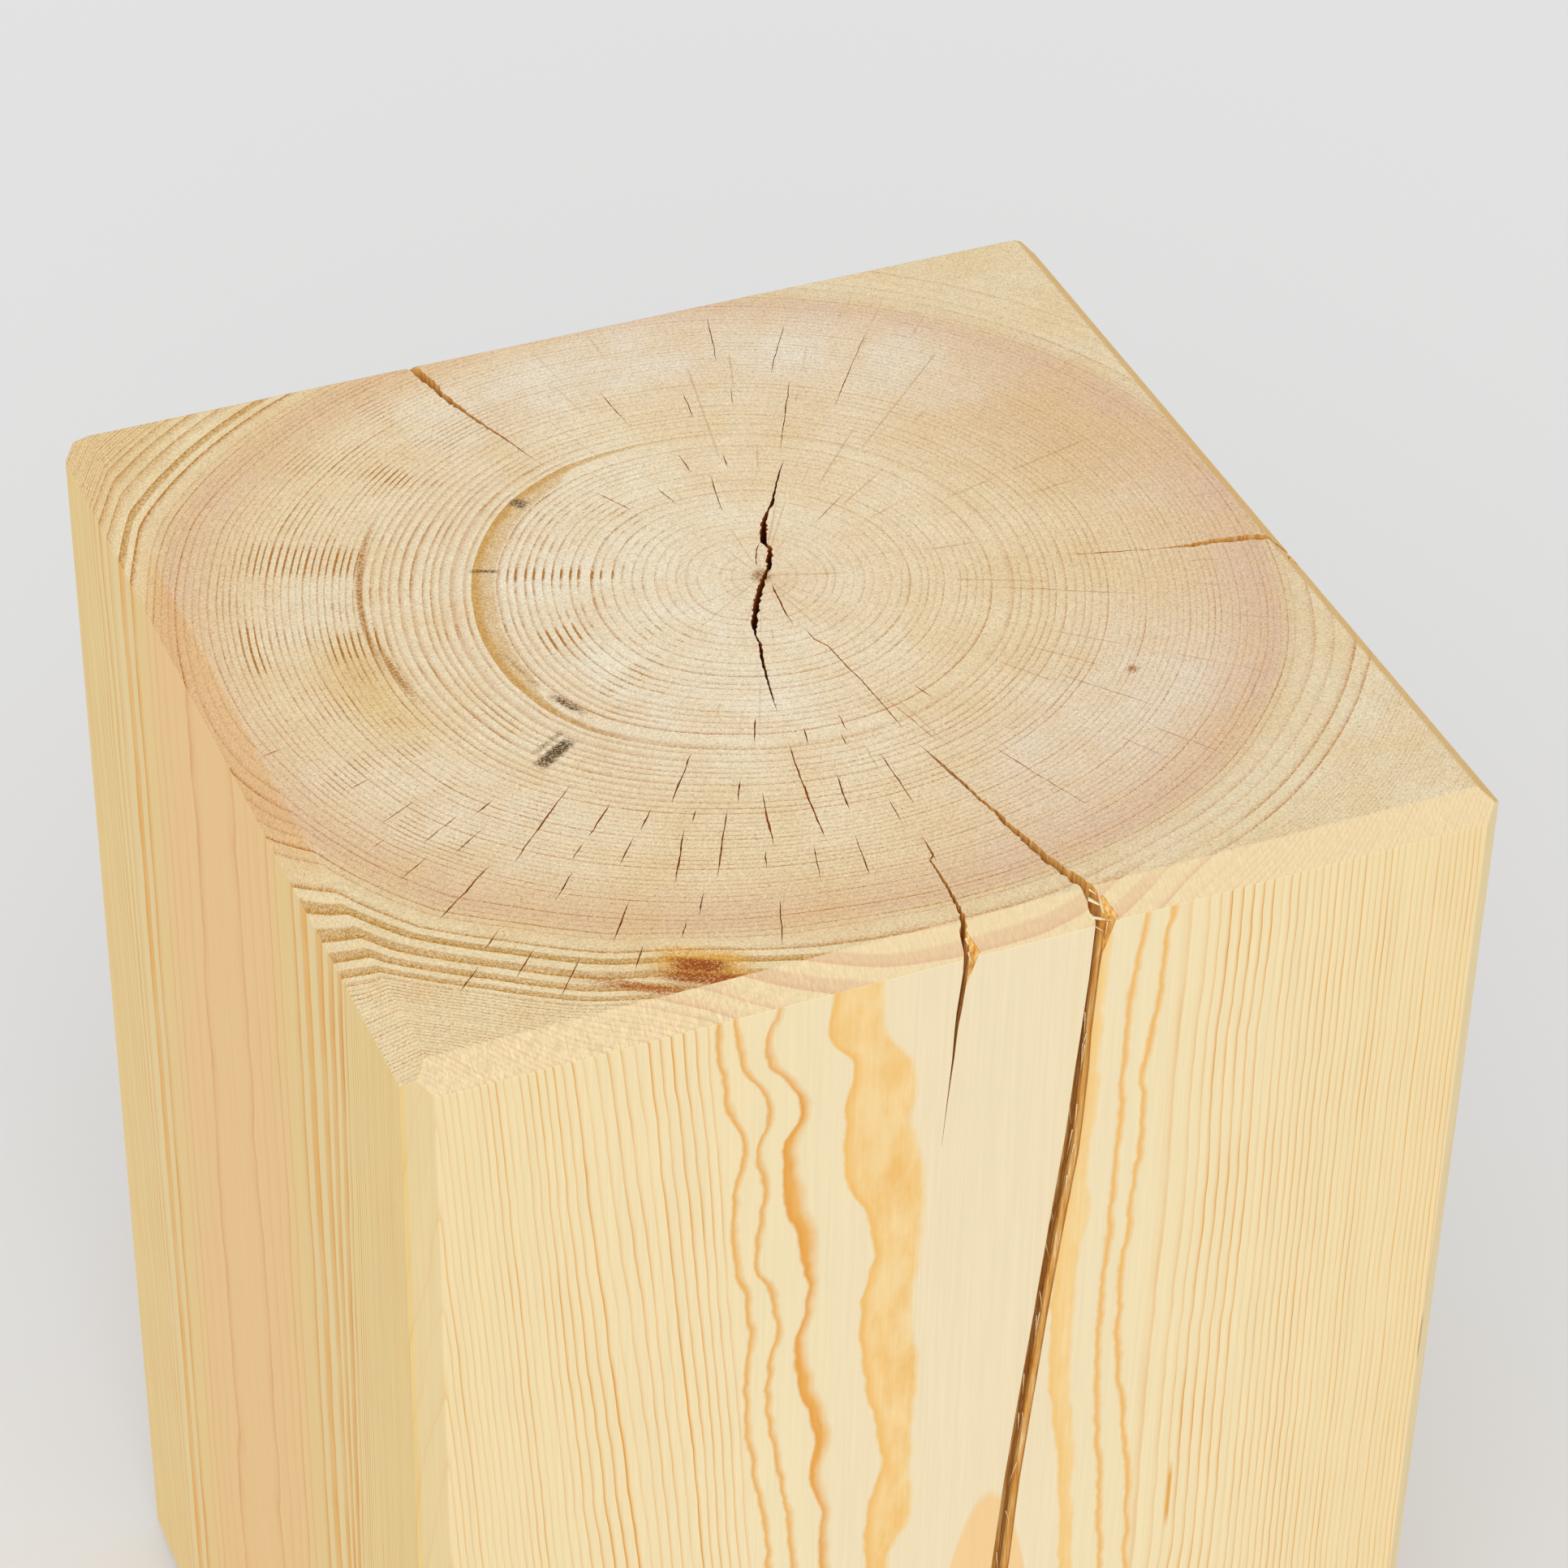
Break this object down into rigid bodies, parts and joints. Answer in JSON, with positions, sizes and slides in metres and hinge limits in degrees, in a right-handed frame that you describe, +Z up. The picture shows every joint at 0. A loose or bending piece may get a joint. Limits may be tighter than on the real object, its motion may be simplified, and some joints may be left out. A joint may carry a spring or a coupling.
{
  "type": "wood block",
  "caption": "Upright square block of solid pine with chamfered edges and open drying checks, used as a stool, side table or plinth.",
  "frame": {"origin": "middle of the underside, on the surface that the block stands on", "axes": "+Z up along the grain, -Y out of the front face with the long check, +X to the right"},
  "size_m": [0.3, 0.297, 0.44],
  "materials": {
    "pine": "bare softwood with the heart inside: planed long faces, finely sawn end grain, rough chamfers"
  },
  "bodies": {
    "root": {"wood_block": "pine"}
  },
  "joints": []
}
